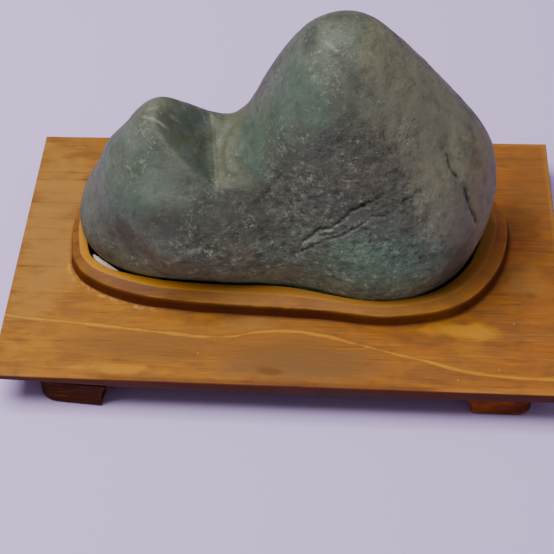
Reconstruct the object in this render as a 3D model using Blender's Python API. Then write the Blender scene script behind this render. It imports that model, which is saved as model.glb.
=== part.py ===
"""A scholar's rock seated in its carved wooden stand.

The rock is one water-worn stone with a tall peak, a lower peak on its left and
a creased saddle between them. The stand is a pine board with a raised lip
carved round the seat, and four small block feet. A sliver of packing is pushed
in beside the rock where the seat is too wide.

The frame is +Z up, with the origin on the ground under the middle of the board.
+X runs along the board to the right and the front edge is on the -Y side.
"""

import math

import bmesh
import bpy
import numpy as np
from mathutils import Matrix, Vector

# Every length below is in millimetres. MM makes it metres for the meshes.
MM = 0.001
TOUCH_GAP = 0.3             # left between two pieces that rest on each other

# ---- Board -----------------------------------------------------------------
BOARD_LENGTH = 240.0
BOARD_DEPTH_LEFT = 153.8    # the board is a little out of square
BOARD_DEPTH_RIGHT = 158.6
BOARD_TOP = 18.0            # height of the board's top face above the ground
BOARD_THICKNESS = 5.2
TOP_ARRIS = 0.6             # the worn top edge
CORNER_CUT = 1.4            # how far each plan corner is knocked off
UNDERCUT = 3.0              # how far in the underside's bevel runs
SIDE_EDGE_HEIGHT = 4.0      # height of the upright edge along the ends and the back
# Height of the upright edge along the front, from the left end to the right.
EDGE_HEIGHTS = ((-120.0, 2.2), (-100.0, 2.8), (-66.0, 4.4), (0.0, 5.0), (70.0, 5.0), (120.0, 4.4))

# ---- Seat and carved lip ---------------------------------------------------
SEAT_CENTRE = (0.0, 6.0)    # plan point that the lip is laid out from
SEAT_FLOOR = 16.4           # height of the floor that the rock stands on
SEAT_GAP = 0.7              # clearance between the rock and the wall of the seat
# Places where the seat was cut too wide: plan angle, extra gap, half-width of the place.
SEAT_SLACK = ((194.8, 3.1, 6.8), (340.0, 2.2, 14.0))
# Width of the lip from the seat's wall to its foot on the board, by plan angle.
LIP_WIDTHS = (
    (0.0, 12.2), (9.0, 11.2), (25.0, 11.8), (45.0, 14.0), (70.0, 11.5), (110.0, 11.5), (138.0, 14.5),
    (160.0, 10.5), (180.0, 6.5), (192.0, 8.5), (199.0, 11.5), (204.0, 14.9), (212.0, 16.0),
    (226.0, 14.5), (242.0, 12.8), (272.0, 12.0), (303.0, 10.2), (316.0, 10.6), (332.0, 12.4), (348.0, 11.8),
)
# Section of the lip: share of its width out from the seat, height above the board.
LIP_SECTION = ((0.0, 6.5), (0.06, 6.9), (0.45, 7.2), (0.52, 6.9), (0.88, 5.3), (0.95, 4.5), (1.0, 0.0))
LIP_STEPS = 108             # points round the lip
LIP_SMOOTHING = 6           # rounds of evening out the wall of the seat

# ---- Feet ------------------------------------------------------------------
FOOT_TOP = BOARD_TOP - BOARD_THICKNESS - TOUCH_GAP
FOOT_DEPTH = 22.0
FOOT_BOTTOM_ARRIS = 0.7
FOOT_FLARE_START = 0.35     # share of the height at which the inner side starts to spread
FOOT_FLARE_LEVELS = 5       # rings from there up to the top
FOOT_CORNER_STEPS = 6       # points round the outer corner
# Node name, plan centre, width, turn in degrees, outer corner radius, inner flare.
FEET = (
    ("foot_front_left", (-87.8, -64.6), 27.5, -5.0, 8.0, 3.0),
    ("foot_front_right", (92.4, -64.3), 25.0, -1.0, 6.5, 9.0),
    ("foot_back_left", (-88.0, 64.6), 26.0, 3.0, 7.0, 6.0),
    ("foot_back_right", (92.0, 66.4), 26.0, -2.0, 7.0, 6.0),
)

# ---- Packing sliver --------------------------------------------------------
PACKING_SPAN = (189.8, 199.4)   # plan angles that it runs between
PACKING_STEPS = 9
PACKING_THICKNESS = 1.9
PACKING_TOP = 24.2
PACKING_BOTTOM = 17.4
PACKING_END_THINNING = 0.6      # share of the thickness lost at each end
PACKING_END_DROP = 1.4          # how much lower the top is at each end
PACKING_TOP_SLOPE = 0.4         # how much the top falls from the rock outwards

# ---- Rock ------------------------------------------------------------------
ROCK_CORE = (0.0, 6.0, 42.0)    # point low inside the rock that its surface is measured from
ROCK_STRETCH = (1.35, 0.8, 1.0)  # spreads the mesh evenly over the long, thin shape
ROCK_REACH = 140.0              # longer than any way out of the rock
ROCK_BASE = SEAT_FLOOR + TOUCH_GAP
ROCK_DIVISIONS = 5              # icosphere divisions, 5,120 triangles
# Boxes in which the mesh is divided once more: lowest and highest X, Y and Z.
CLOSE_MESH = (
    ((-54.0, -34.0, 68.0), (-14.0, 16.0, 102.0)),   # creases of the notch
    ((0.0, -60.0, 50.0), (56.0, -8.0, 86.0)),       # seam
    ((62.0, -40.0, 56.0), (84.0, 0.0, 98.0)),       # crack
    ((-20.0, -60.0, 116.0), (60.0, 60.0, 150.0)),   # head of the tall peak
    ((-80.0, -40.0, 92.0), (-25.0, 40.0, 115.0)),   # head of the lower peak
)
LOBE_BLEND = 7.0                # radius over which lobes run into each other
# Rounded masses: centre, half sizes, tilt of the long axis in degrees.
LOBES = (
    ((28.5, 6.2, 67.5), (45.7, 40.5, 59.8), 3.5),       # body of the tall peak
    ((47.2, 6.3, 47.8), (37.6, 44.0, 50.0), -28.7),     # right shoulder
    ((2.6, 16.4, 28.8), (84.6, 38.9, 36.6), -11.8),     # long belly under both peaks
    ((16.8, 4.7, 107.0), (25.6, 26.2, 35.5), -21.3),    # head of the tall peak
    ((-17.7, 0.7, 49.5), (25.7, 30.8, 24.2), 11.2),     # foot of the saddle
    ((-44.0, 1.4, 53.9), (35.1, 35.9, 21.4), -28.1),    # body of the lower peak
    ((-48.0, -1.1, 74.1), (20.3, 18.4, 33.7), -8.6),    # head of the lower peak
    ((-54.4, 7.9, 36.4), (37.2, 32.8, 23.1), 11.2),     # left toe
)
# The notch worn between the peaks is bounded by three planes: a point on each and the
# normal that points into the notch.
WORN_FACE = ((-50.0, 4.0, 101.5), (0.695, -0.176, 0.697))       # right face of the lower peak
NOTCH_FLOOR = ((-33.1, 11.4, 86.5), (-0.074, -0.362, 0.929))    # narrow strip along the bottom
NOTCH_FLANK = ((-20.5, 8.0, 87.0), (-0.87, -0.12, 0.48))        # left flank of the tall peak
NOTCH_CREASE = 1.0              # radius where the worn face meets the floor
NOTCH_HOLLOW = 4.0              # radius where the floor rises into the flank
NOTCH_EDGE = (1.2, 5.0)         # radius of its outer edges, crisp low down and rounded at the top
NOTCH_ROUNDING = (80.0, 97.0)   # heights between which the edges go from crisp to rounded
NOTCH_LIFT = 2.0                # how far the rounded top stands above the planes
# Gentle flats worn on the back of the whole rock.
BACK_FLATS = (
    ((22.0, 38.0, 80.0), (0.10, 0.965, 0.22)),
    ((74.0, 36.0, 60.0), (0.55, 0.80, 0.22)),
    ((-48.0, 36.0, 55.0), (-0.20, 0.93, 0.30)),
    ((-10.0, 42.5, 45.0), (-0.12, 0.98, 0.15)),
)
BACK_FLAT_EDGE = 3.5
# Slanting seam across the front: its upper and lower line in X and Z, and how proud it is.
SEAM_UPPER = ((2.0, 53.0), (15.0, 67.0), (26.0, 78.0), (38.0, 81.5), (54.0, 83.5))
SEAM_LOWER = ((-2.0, 46.0), (11.0, 56.5), (26.0, 66.0), (36.0, 74.0), (48.0, 77.0))
SEAM_PROUD = 1.5
SEAM_EDGE = 1.6                 # width of the step on each side of the seam
# Low ledge near the foot of the saddle, in X and Z, with the rock above it standing proud.
LOW_LEDGE = ((-54.0, 40.0), (-41.0, 48.0), (-28.0, 56.0))
LOW_LEDGE_PROUD = 1.1
LOW_LEDGE_FADE = 9.0
# Crack down the right shoulder, in X and Z.
CRACK = ((65.0, 103.0), (66.5, 91.0), (71.0, 82.0), (75.5, 71.0), (82.0, 55.0))
CRACK_DEPTH = 1.4
CRACK_HALF_WIDTH = 2.2
FRONT_FADE = (2.0, -8.0)        # depth over which front marks fade in, in Y

# ---- Shading ---------------------------------------------------------------
# Edges sharper than these angles in degrees are shaded as sharp.
ROCK_SHARP = 60.0
BOARD_SHARP = 22.0
SMALL_PIECE_SHARP = 35.0


# ---- Small helpers ---------------------------------------------------------
def clear_scene():
    """Remove every object so that the script starts from nothing."""
    for item in list(bpy.data.objects):
        bpy.data.objects.remove(item, do_unlink=True)


def make_material(name, colour, roughness):
    """Return a non-metallic Principled material."""
    material = bpy.data.materials.new(name)
    material.use_nodes = True
    shader = material.node_tree.nodes["Principled BSDF"]
    shader.inputs["Base Color"].default_value = (*colour, 1.0)
    shader.inputs["Roughness"].default_value = roughness
    shader.inputs["Metallic"].default_value = 0.0
    return material


def finish(shape, name, material, sharp_degrees):
    """Turn a bmesh drawn in millimetres into a named object in metres."""
    bmesh.ops.scale(shape, vec=(MM, MM, MM), verts=shape.verts)
    bmesh.ops.recalc_face_normals(shape, faces=shape.faces)
    mesh = bpy.data.meshes.new(name)
    shape.to_mesh(mesh)
    shape.free()
    mesh.materials.append(material)
    mesh.shade_smooth()
    mesh.set_sharp_from_angle(angle=math.radians(sharp_degrees))
    made = bpy.data.objects.new(name, mesh)
    bpy.context.scene.collection.objects.link(made)
    return made


def smooth_step(value, start, end):
    """Rise from 0 at start to 1 at end with a soft curve."""
    share = np.clip((value - start) / (end - start), 0.0, 1.0)
    return share * share * (3.0 - 2.0 * share)


def loft(rings):
    """Join each ring to the next with quads and close both ends with a flat cap."""
    shape = bmesh.new()
    loops = [[shape.verts.new(point) for point in ring] for ring in rings]
    for lower, upper in zip(loops, loops[1:]):
        for i in range(len(lower)):
            shape.faces.new((lower[i - 1], lower[i], upper[i], upper[i - 1]))
    shape.faces.new(loops[0])
    shape.faces.new(loops[-1])
    return shape


# ---- Shape of the rock -----------------------------------------------------
def lobe_distance(points, centre, half_sizes, tilt):
    """Return about how far each point is outside one rounded mass."""
    offset = points - np.array(centre)
    turn = math.radians(tilt)
    along = offset[:, 0] * math.cos(turn) + offset[:, 2] * math.sin(turn)
    upward = offset[:, 2] * math.cos(turn) - offset[:, 0] * math.sin(turn)
    scaled = np.stack([along, offset[:, 1], upward], axis=1) / np.array(half_sizes)
    reach = np.linalg.norm(scaled, axis=1)
    slope = np.linalg.norm(scaled / np.array(half_sizes), axis=1) + 1e-9
    return reach * (reach - 1.0) / slope


def blend(distances, radius):
    """Join shapes, rounding the hollow where they meet by about the radius."""
    stack = np.stack(distances)
    nearest = stack.min(axis=0)
    return nearest - radius * np.log(np.exp((nearest - stack) / radius).sum(axis=0))


def cut_away(distances, beyond, edge):
    """Take the side beyond a surface away from a shape, with a rounded edge."""
    return -blend([-distances, -beyond], edge)


def beyond_plane(points, plane):
    """Return how far each point is beyond a plane given by a point and a normal."""
    place, normal = (np.array(row) for row in plane)
    return (points - place) @ (normal / np.linalg.norm(normal))


def line_distance(points, line):
    """Return the distance to a line of X and Z points, positive above it, and the share along it."""
    flat = points[:, (0, 2)]
    corners = np.array(line)
    steps = np.diff(corners, axis=0)
    lengths = np.linalg.norm(steps, axis=1)
    before = np.concatenate([[0.0], np.cumsum(lengths)])
    best = np.full(len(flat), np.inf)
    side = np.zeros(len(flat))
    share = np.zeros(len(flat))
    for corner, step, length, start in zip(corners, steps, lengths, before):
        offset = flat - corner
        along = np.clip(offset @ step / length ** 2, 0.0, 1.0)
        gap = np.linalg.norm(offset - along[:, None] * step, axis=1)
        above = np.where(step[0] * offset[:, 1] - step[1] * offset[:, 0] >= 0.0, 1.0, -1.0)
        closer = gap < best
        best = np.where(closer, gap, best)
        side = np.where(closer, above, side)
        share = np.where(closer, (start + along * length) / before[-1], share)
    return best * side, share


def end_fade(share):
    """Fade a mark out over the last fifth of its line at each end."""
    return smooth_step(share, 0.0, 0.2) * smooth_step(share, 1.0, 0.8)


def surface_marks(points):
    """Return how far the seam, the low ledge and the crack lift the surface."""
    front = smooth_step(points[:, 1], *FRONT_FADE)
    below_upper, upper_share = line_distance(points, SEAM_UPPER)
    above_lower, lower_share = line_distance(points, SEAM_LOWER)
    seam = smooth_step(below_upper, SEAM_EDGE, -SEAM_EDGE) * smooth_step(above_lower, -SEAM_EDGE, SEAM_EDGE)
    seam = seam * end_fade(0.5 * (upper_share + lower_share)) * SEAM_PROUD
    above_ledge, ledge_share = line_distance(points, LOW_LEDGE)
    ledge = smooth_step(above_ledge, -SEAM_EDGE, SEAM_EDGE) * np.exp(-np.abs(above_ledge) / LOW_LEDGE_FADE)
    ledge = ledge * end_fade(ledge_share) * LOW_LEDGE_PROUD
    beside_crack, crack_share = line_distance(points, CRACK)
    crack = np.exp(-(beside_crack / CRACK_HALF_WIDTH) ** 2) * end_fade(crack_share) * CRACK_DEPTH
    return front * (seam + ledge - crack)


def notch_reach(points):
    """Return how far each point is inside the notch between the peaks."""
    low = blend([beyond_plane(points, WORN_FACE), beyond_plane(points, NOTCH_FLOOR)], NOTCH_CREASE)
    return blend([low, beyond_plane(points, NOTCH_FLANK)], NOTCH_HOLLOW)


def rock_distance(points):
    """Return about how far each point is outside the rock."""
    body = blend([lobe_distance(points, *lobe) for lobe in LOBES], LOBE_BLEND)
    for flat in BACK_FLATS:
        body = cut_away(body, beyond_plane(points, flat), BACK_FLAT_EDGE)
    rounded = smooth_step(points[:, 2], *NOTCH_ROUNDING)
    edge = NOTCH_EDGE[0] + (NOTCH_EDGE[1] - NOTCH_EDGE[0]) * rounded
    body = cut_away(body, notch_reach(points) - NOTCH_LIFT * rounded, edge)
    body -= surface_marks(points)
    return np.maximum(body, ROCK_BASE - points[:, 2])


def way_out(start, directions, distance):
    """Return how far along each direction the distance first turns positive."""
    inside = np.zeros(len(directions))
    outside = np.full(len(directions), ROCK_REACH)
    for _ in range(40):
        middle = 0.5 * (inside + outside)
        beyond = distance(start + directions * middle[:, None]) > 0.0
        outside = np.where(beyond, middle, outside)
        inside = np.where(beyond, inside, middle)
    return 0.5 * (inside + outside)


def push_out(shape):
    """Move every point of a mesh round the core straight out to the rock's surface."""
    core = np.array(ROCK_CORE)
    directions = np.array([vert.co[:] for vert in shape.verts]) - core
    directions /= np.linalg.norm(directions, axis=1)[:, None]
    reach = way_out(core, directions, rock_distance)
    for vert, direction, length in zip(shape.verts, directions, reach):
        vert.co = Vector(core + direction * length)


def in_close_mesh(point):
    """Tell whether a point lies in one of the boxes with a closer mesh."""
    return any(all(low < value < high for low, value, high in zip(lowest, point, highest))
               for lowest, highest in CLOSE_MESH)


def build_rock(material):
    """Push a divided icosphere out to the rock's surface, with a closer mesh where it is creased."""
    shape = bmesh.new()
    bmesh.ops.create_icosphere(shape, subdivisions=ROCK_DIVISIONS, radius=1.0)
    bmesh.ops.scale(shape, vec=ROCK_STRETCH, verts=shape.verts)
    bmesh.ops.translate(shape, vec=ROCK_CORE, verts=shape.verts)
    push_out(shape)
    close = [edge for edge in shape.edges if in_close_mesh((edge.verts[0].co + edge.verts[1].co) / 2.0)]
    bmesh.ops.subdivide_edges(shape, edges=close, cuts=1, use_grid_fill=True)
    bmesh.ops.triangulate(shape, faces=[face for face in shape.faces if len(face.verts) > 3])
    push_out(shape)
    return finish(shape, "rock", material, ROCK_SHARP)


# ---- Shape of the stand ----------------------------------------------------
def around_table(table, angle):
    """Read a table of (plan angle, value) pairs, smoothly and right round the circle."""
    angle = angle % 360.0
    angles = [row[0] for row in table] + [table[0][0] + 360.0]
    values = [row[1] for row in table] + [table[0][1]]
    for i in range(len(table)):
        if angles[i] <= angle <= angles[i + 1]:
            share = (angle - angles[i]) / (angles[i + 1] - angles[i])
            return values[i] + (values[i + 1] - values[i]) * float(smooth_step(share, 0.0, 1.0))
    return values[0]


def seat_slack(angle):
    """Return the extra gap where the seat was cut too wide."""
    slack = 0.0
    for centre, extra, half_width in SEAT_SLACK:
        turn = (angle - centre + 180.0) % 360.0 - 180.0
        slack += extra * math.exp(-(turn / half_width) ** 4)
    return slack


def smooth_round(values, passes):
    """Even out values that run round a ring."""
    for _ in range(passes):
        values = 0.5 * values + 0.25 * (np.roll(values, 1) + np.roll(values, -1))
    return values


def rock_outline(angles):
    """Return the rock's widest plan reach within the seat, by plan angle."""
    turns = np.radians(angles)
    directions = np.stack([np.cos(turns), np.sin(turns), np.zeros(len(angles))], axis=1)
    heights = np.linspace(ROCK_BASE + 0.1, BOARD_TOP + LIP_SECTION[0][1], 6)
    levels = [way_out(np.array([*SEAT_CENTRE, height]), directions, rock_distance) for height in heights]
    return np.max(levels, axis=0)


def board_outline(angles, inset):
    """Return the board's plan outline as one point for each plan angle from the seat."""
    half = BOARD_LENGTH / 2.0
    slope = (BOARD_DEPTH_RIGHT - BOARD_DEPTH_LEFT) / (2.0 * BOARD_LENGTH)
    middle = (BOARD_DEPTH_RIGHT + BOARD_DEPTH_LEFT) / 4.0
    sides = (((1.0, 0.0), half), ((-1.0, 0.0), half), ((-slope, 1.0), middle), ((-slope, -1.0), middle))
    rays = np.stack([np.cos(np.radians(angles)), np.sin(np.radians(angles))], axis=1)
    reach = np.full(len(angles), np.inf)
    for normal, limit in sides:
        facing = rays @ np.array(normal)
        room = limit - inset - np.dot(normal, SEAT_CENTRE)
        reach = np.where(facing > 1e-6, np.minimum(reach, room / np.maximum(facing, 1e-6)), reach)
    points = np.array(SEAT_CENTRE) + rays * reach[:, None]
    # The two points nearest each corner move to the ends of its small cut.
    for x in (1.0, -1.0):
        for y in (1.0, -1.0):
            corner = np.array([x * (half - inset), y * (middle + x * half * slope - inset)])
            ends = [corner - (0.0, y * CORNER_CUT), corner - (x * CORNER_CUT, 0.0)]
            first, second = sorted(np.argsort(np.linalg.norm(points - corner, axis=1))[:2])
            points[first], points[second] = ends if x * y > 0.0 else reversed(ends)
    return points


def edge_height(point):
    """Return how tall the board's upright edge is at a plan point."""
    places, heights = zip(*EDGE_HEIGHTS)
    front = np.interp(point[0], places, heights)
    return SIDE_EDGE_HEIGHT + (front - SIDE_EDGE_HEIGHT) * smooth_step(point[1], 0.0, -60.0)


def build_board(material):
    """Loft the seat, the carved lip and the board as rings from the middle outwards."""
    angles = np.arange(LIP_STEPS) * 360.0 / LIP_STEPS
    turns = np.radians(angles)
    outline = rock_outline(angles)
    slack = np.array([seat_slack(angle) for angle in angles])
    wall = np.maximum(smooth_round(outline, LIP_SMOOTHING) + SEAT_GAP, outline + TOUCH_GAP) + slack
    widths = np.array([around_table(LIP_WIDTHS, angle) for angle in angles])

    def seat_ring(reach, height):
        x = SEAT_CENTRE[0] + reach * np.cos(turns)
        y = SEAT_CENTRE[1] + reach * np.sin(turns)
        return [(a, b, height) for a, b in zip(x, y)]

    def board_ring(inset, drops):
        points = board_outline(angles, inset)
        heights = np.broadcast_to(BOARD_TOP - np.array(drops), len(points))
        return [(x, y, height) for (x, y), height in zip(points, heights)]

    edges = [edge_height(point) for point in board_outline(angles, 0.0)]
    rings = [seat_ring(wall, SEAT_FLOOR)]
    rings += [seat_ring(wall + widths * share, BOARD_TOP + height) for share, height in LIP_SECTION]
    rings += [
        board_ring(TOP_ARRIS, 0.0),
        board_ring(0.0, TOP_ARRIS),
        board_ring(0.0, edges),
        board_ring(UNDERCUT, BOARD_THICKNESS),
    ]
    return finish(loft(rings), "board", material, BOARD_SHARP)


def foot_outline(width, depth, radius, outer):
    """Return a foot's plan outline, with its outer front corner rounded off."""
    side = outer * width / 2.0
    front = -depth / 2.0
    points = [(-side, front), (-side, -front), (side, -front)]
    for turn in np.linspace(0.0, math.pi / 2.0, FOOT_CORNER_STEPS):
        inwards = outer * radius * (1.0 - math.cos(turn))
        points.append((side - inwards, front + radius * (1.0 - math.sin(turn))))
    return points


def build_foot(name, centre, width, turn, radius, flare, material):
    """Make one block foot whose inner side spreads towards the board in a hollow curve."""
    outer = 1.0 if centre[0] > 0.0 else -1.0
    front = 1.0 if centre[1] < 0.0 else -1.0
    levels = [(0.0, -FOOT_BOTTOM_ARRIS, 0.0), (FOOT_BOTTOM_ARRIS, 0.0, 0.0)]
    for share in np.linspace(0.0, 1.0, FOOT_FLARE_LEVELS):
        height = FOOT_TOP * (FOOT_FLARE_START + (1.0 - FOOT_FLARE_START) * share)
        levels.append((height, 0.0, flare * (1.0 - math.cos(share * math.pi / 2.0))))
    rings = []
    for height, spread, inner in levels:
        ring = []
        for x, y in foot_outline(width + 2.0 * spread, FOOT_DEPTH + 2.0 * spread, radius, outer):
            if x * outer < 0.0:
                x -= outer * inner
            ring.append(Vector((x, y * front, height)))
        rings.append(ring)
    shape = loft(rings)
    place = Matrix.Translation((*centre, 0.0)) @ Matrix.Rotation(math.radians(turn), 4, "Z")
    bmesh.ops.transform(shape, matrix=place, verts=shape.verts)
    return finish(shape, name, material, SMALL_PIECE_SHARP)


def build_packing(material):
    """Make the thin curved sliver that fills the wide place in the seat."""
    angles = np.linspace(*PACKING_SPAN, PACKING_STEPS)
    reaches = rock_outline(angles) + TOUCH_GAP
    shares = np.linspace(-1.0, 1.0, PACKING_STEPS)
    rings = []
    for angle, near, share in zip(angles, reaches, shares):
        far = near + PACKING_THICKNESS * (1.0 - PACKING_END_THINNING * share * share)
        top = PACKING_TOP - PACKING_END_DROP * share * share
        outer_top = top - PACKING_TOP_SLOPE
        section = ((near, PACKING_BOTTOM), (far, PACKING_BOTTOM), (far, outer_top), (near, top))
        turn = math.radians(angle)
        out = Vector((math.cos(turn), math.sin(turn), 0.0))
        rings.append([Vector((*SEAT_CENTRE, height)) + out * reach for reach, height in section])
    return finish(loft(rings), "packing", material, SMALL_PIECE_SHARP)


def main():
    """Build every piece of the rock and its stand."""
    clear_scene()
    stone = make_material("grey_green_stone", (0.105, 0.115, 0.100), 0.72)
    pine = make_material("amber_stained_pine", (0.400, 0.190, 0.050), 0.55)
    dark_pine = make_material("dark_stained_pine", (0.190, 0.070, 0.025), 0.60)
    pale = make_material("pale_packing", (0.700, 0.680, 0.560), 0.80)
    build_rock(stone)
    build_board(pine)
    for name, centre, width, turn, radius, flare in FEET:
        build_foot(name, centre, width, turn, radius, flare, dark_pine)
    build_packing(pale)


main()
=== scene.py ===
"""Looks of a scholar's rock on its carved pine stand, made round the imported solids."""

import math

import bpy
import numpy as np
from mathutils import Matrix, Vector, noise


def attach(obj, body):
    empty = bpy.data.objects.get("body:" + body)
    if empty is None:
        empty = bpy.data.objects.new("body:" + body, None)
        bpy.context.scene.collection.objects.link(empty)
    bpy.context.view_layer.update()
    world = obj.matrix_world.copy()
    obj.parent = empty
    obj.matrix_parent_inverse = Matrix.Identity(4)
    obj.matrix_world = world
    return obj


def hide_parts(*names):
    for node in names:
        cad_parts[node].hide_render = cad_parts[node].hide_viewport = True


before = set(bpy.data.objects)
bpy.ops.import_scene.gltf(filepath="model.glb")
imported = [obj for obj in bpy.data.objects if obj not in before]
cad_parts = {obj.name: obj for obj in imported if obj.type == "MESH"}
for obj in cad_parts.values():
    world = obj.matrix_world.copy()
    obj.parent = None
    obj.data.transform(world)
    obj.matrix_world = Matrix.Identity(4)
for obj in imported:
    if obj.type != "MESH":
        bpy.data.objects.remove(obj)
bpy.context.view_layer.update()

bl_info = {
    "name": "Scholar's rock and stand",
    "version": (1, 0, 0),
    "blender": (4, 5, 0),
    "location": "3D View > Sidebar > Rock",
    "description": "Dresses the solids of a scholar's rock and its carved pine stand",
    "category": "Object",
}

MM = 0.001

# ---- Places on the rock, in millimetres ------------------------------------
SEAM_ABOVE = ((4.6, -31.9, 49.7), (9.3, -34.4, 59.6), (14.2, -35.2, 65.7), (19.9, -37.0, 68.7),
              (24.3, -37.1, 73.8), (27.8, -36.5, 77.8), (31.3, -35.7, 79.9), (36.1, -34.8, 81.9),
              (41.6, -33.3, 84.0))
SEAM_BELOW = ((4.6, -31.8, 48.7), (9.3, -32.9, 53.0), (13.0, -34.4, 57.0), (18.1, -36.4, 61.5),
              (23.1, -37.1, 64.0), (26.8, -37.8, 67.0), (30.4, -37.9, 70.2), (33.4, -37.7, 73.0),
              (35.2, -37.7, 75.2))
# Crevices worn in the rock: the line, its half-width and its depth.
GROOVES = (
    (SEAM_ABOVE, 0.6, 1.1),
    (((33.3, -36.1, 79.8), (37.3, -35.6, 81.0), (40.1, -34.9, 81.8)), 0.5, 0.7),
    (((47.3, -33.7, 80.8), (50.1, -32.6, 81.5), (52.8, -31.3, 82.5)), 0.6, 0.8),
    (SEAM_BELOW, 0.7, 1.2),
    (((35.2, -37.6, 75.9), (38.8, -37.4, 76.3), (42.5, -36.3, 75.4)), 0.5, 0.6),
    (((-13.2, -26.6, 68.5), (-9.5, -24.8, 72.5), (-5.3, -24.4, 78.9), (-1.1, -25.1, 87.1),
      (1.3, -25.4, 92.2)), 0.7, 0.6),
    (((73.3, -20.2, 79.0), (73.9, -21.2, 76.4), (75.0, -21.9, 72.3), (76.4, -22.1, 67.7),
      (78.4, -21.4, 62.4), (80.2, -21.0, 57.1)), 0.65, 1.1),
    (((65.5, -16.0, 92.5), (66.3, -18.2, 89.3), (67.0, -19.3, 87.4), (68.3, -20.1, 85.2),
      (69.9, -20.1, 82.9), (71.1, -20.4, 81.2)), 0.6, 0.9),
)
# Edges that stand proud and get a painted highlight: the line, its half-width and its height.
RIDGES = (
    (((-55.4, -4.0, 100.0), (-52.6, -10.2, 96.8), (-49.6, -13.6, 93.4), (-46.7, -16.1, 90.2),
      (-42.6, -18.0, 86.6), (-38.6, -19.3, 82.5), (-34.6, -20.3, 78.6), (-30.6, -20.9, 75.5)),
     1.3, 0.55),
    (((-49.8, -33.1, 41.0), (-45.8, -36.3, 46.7), (-42.2, -37.2, 49.6), (-38.7, -37.5, 52.4),
      (-35.8, -37.2, 54.1), (-32.5, -36.3, 55.6), (-30.9, -35.5, 56.4)), 0.9, 0.6),
    (((-26.5, -33.4, 59.2), (-24.3, -32.4, 60.6), (-21.6, -31.4, 62.0)), 0.8, 0.4),
    (((64.9, -13.0, 96.2), (65.2, -15.0, 93.6), (66.6, -18.0, 89.0)), 0.5, 0.3),
)
LIP_BELOW_SEAM = 1.3        # how far under a seam its lip with a painted highlight lies
# Thin white mineral veins: the line and its half-width.
VEINS = (
    (((-59.0, -4.4, 98.0), (-56.0, -6.3, 98.9), (-54.0, -7.0, 98.9), (-51.5, -8.0, 98.1),
      (-48.2, -9.2, 95.9)), 0.45),
    (((-47.4, -1.9, 97.8), (-45.8, -2.7, 96.3), (-43.9, -3.2, 94.0)), 0.4),
    (((15.6, -4.9, 137.4), (17.8, -7.0, 137.3), (20.6, -9.9, 136.2)), 0.4),
    (((32.6, -8.2, 135.3), (34.6, -8.9, 133.7)), 0.4),
)
# The notch between the peaks: a point on each plane and its normal into the notch.
WORN_FACE = ((-50.0, 4.0, 101.5), (0.695, -0.176, 0.697))
NOTCH_FLOOR = ((-33.1, 11.4, 86.5), (-0.074, -0.362, 0.929))
NOTCH_ROUNDING = (80.0, 97.0)   # heights between which the notch's edges round over
NOTCH_LIFT = 2.0                # how far the rounded top stands above the planes
# Spans over which the notch's region fades in from below, from behind and from the left.
NOTCH_REGION = ((71.0, 75.0), (24.0, 16.0), (-64.0, -60.0))
# The finely pitted places: centre and half sizes.
PITTED = (
    ((24.0, -36.0, 74.0), (46.0, 26.0, 34.0)),
    ((-16.0, -34.0, 48.0), (34.0, 18.0, 22.0)),
    ((36.0, -40.0, 46.0), (40.0, 22.0, 24.0)),
    ((30.0, -24.0, 100.0), (26.0, 18.0, 18.0)),
    ((20.0, 40.0, 50.0), (70.0, 20.0, 26.0)),
)
# Places where the mineral shows as pale flakes: centre and half sizes.
FLAKY = (
    ((-59.0, -12.0, 90.0), (6.0, 9.0, 12.0)),
    ((-82.0, -14.0, 64.0), (6.0, 12.0, 9.0)),
    ((-76.0, -22.0, 46.0), (6.0, 12.0, 9.0)),
    ((-25.0, -14.0, 80.0), (5.0, 10.0, 6.0)),
    ((18.0, -10.0, 132.0), (12.0, 14.0, 10.0)),
    ((40.0, -14.0, 124.0), (12.0, 12.0, 9.0)),
    ((-2.0, -20.0, 96.0), (7.0, 10.0, 14.0)),
)
SMOOTH_PLATE = ((32.0, -37.5, 75.0), (7.0, 5.0, 4.5))    # a place in them that is worn smooth
PAINTED_FILL_LIFT = (2.30, 2.70, 2.45, 1.0)     # how much painted fill light lightens the stone in red, green and blue
LEAST_ROUGH = 0.22          # how rough the smooth places are, where the pitted ones are 1
SEAT_REACH = (17.0, 27.0)   # heights between which the relief comes in above the seat
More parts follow.
